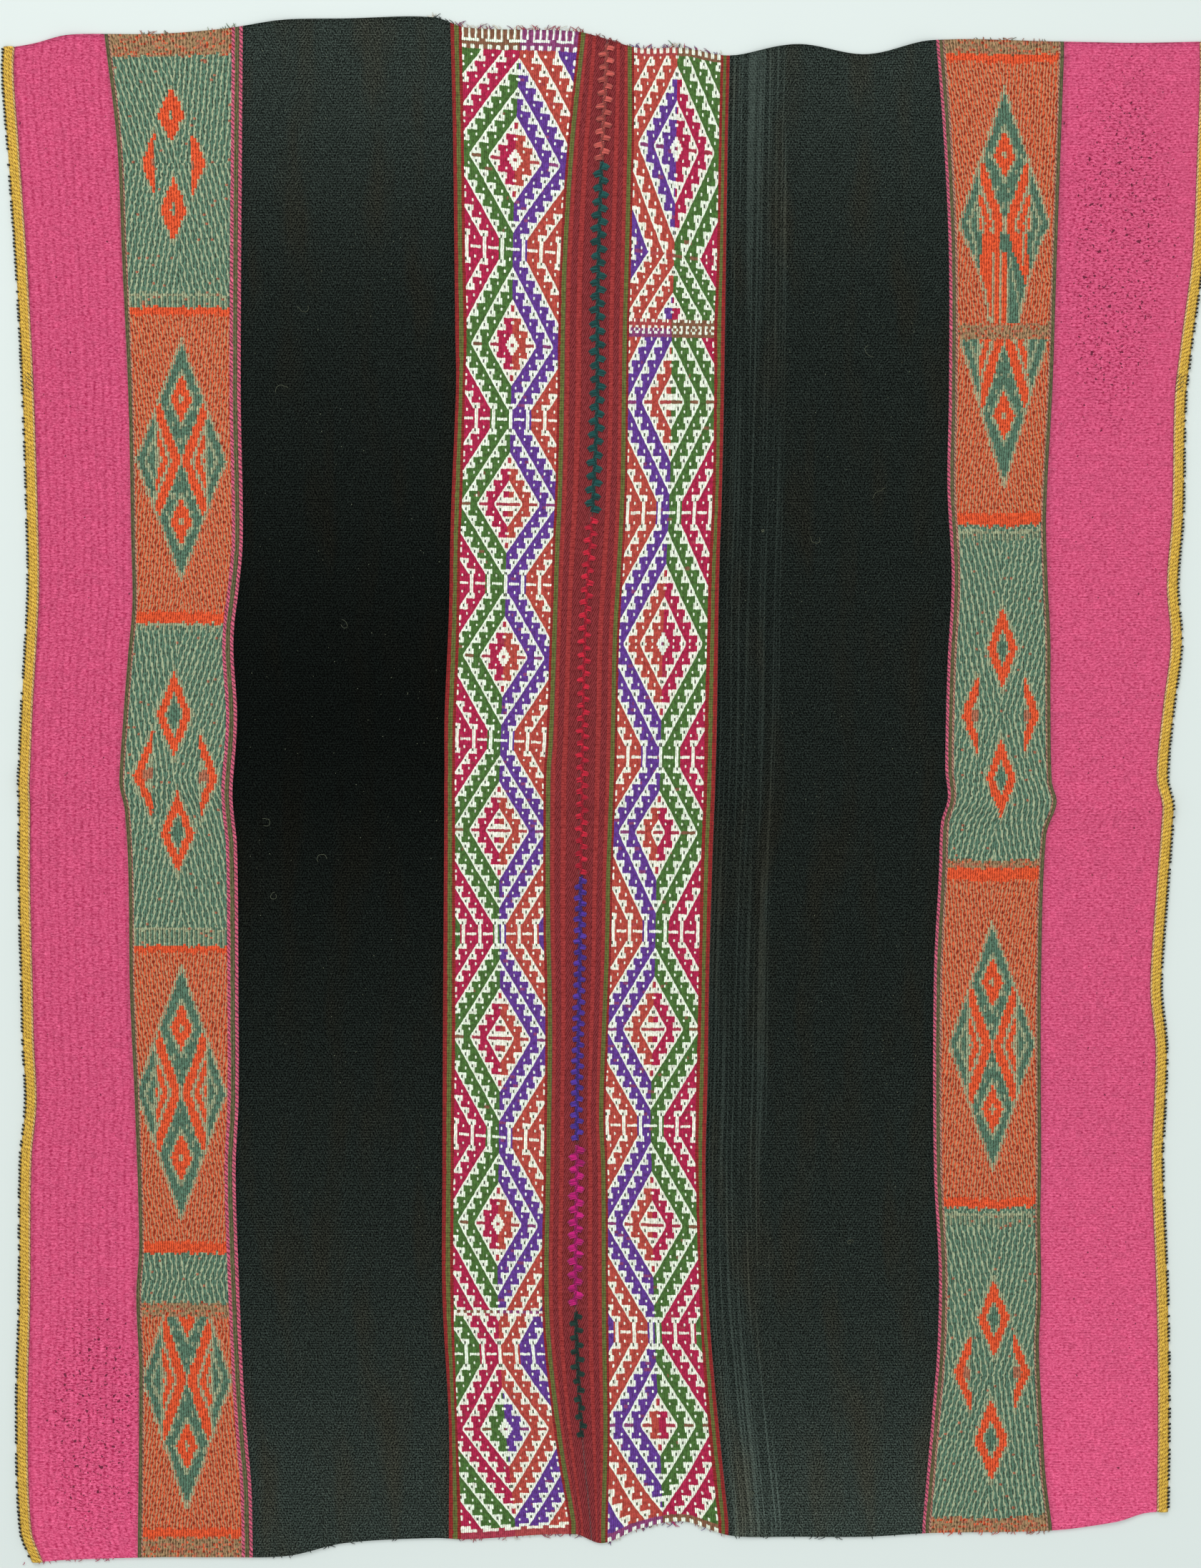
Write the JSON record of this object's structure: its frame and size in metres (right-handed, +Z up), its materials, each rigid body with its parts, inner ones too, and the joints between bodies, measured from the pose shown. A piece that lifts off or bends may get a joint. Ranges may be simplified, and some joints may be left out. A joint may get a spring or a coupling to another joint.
{
  "type": "aguayo carrying cloth",
  "caption": "Flat rectangular handwoven carrying cloth of joined panels with patterned warp bands, a coloured zigzag seam and tubular side edgings.",
  "frame": {"origin": "on the surface that the cloth lies on, under the middle of its outline", "axes": "+X across the cloth from the left panel to the right one, +Y along the warp and the seam, +Z up off the surface"},
  "size_m": [0.9467, 1.21, 0.0065],
  "materials": {
    "handwoven_panel": "matt warp-faced handwoven wool, black and pink grounds with patterned bands",
    "tubular_edging": "matt yellow tubular weave with black ticks",
    "seam_yarn_salmon": "matt plied wool yarn",
    "seam_yarn_teal": "matt plied wool yarn",
    "seam_yarn_crimson": "matt plied wool yarn",
    "seam_yarn_violet": "matt plied wool yarn",
    "seam_yarn_magenta": "matt plied wool yarn",
    "seam_yarn_dark_green": "matt plied wool yarn"
  },
  "bodies": {
    "root": {"panel_left": "handwoven_panel", "panel_right": "handwoven_panel", "edging_left": "tubular_edging", "edging_right": "tubular_edging", "seam_salmon": "seam_yarn_salmon", "seam_teal": "seam_yarn_teal", "seam_crimson": "seam_yarn_crimson", "seam_violet": "seam_yarn_violet", "seam_magenta": "seam_yarn_magenta", "seam_dark_green": "seam_yarn_dark_green"}
  },
  "joints": []
}
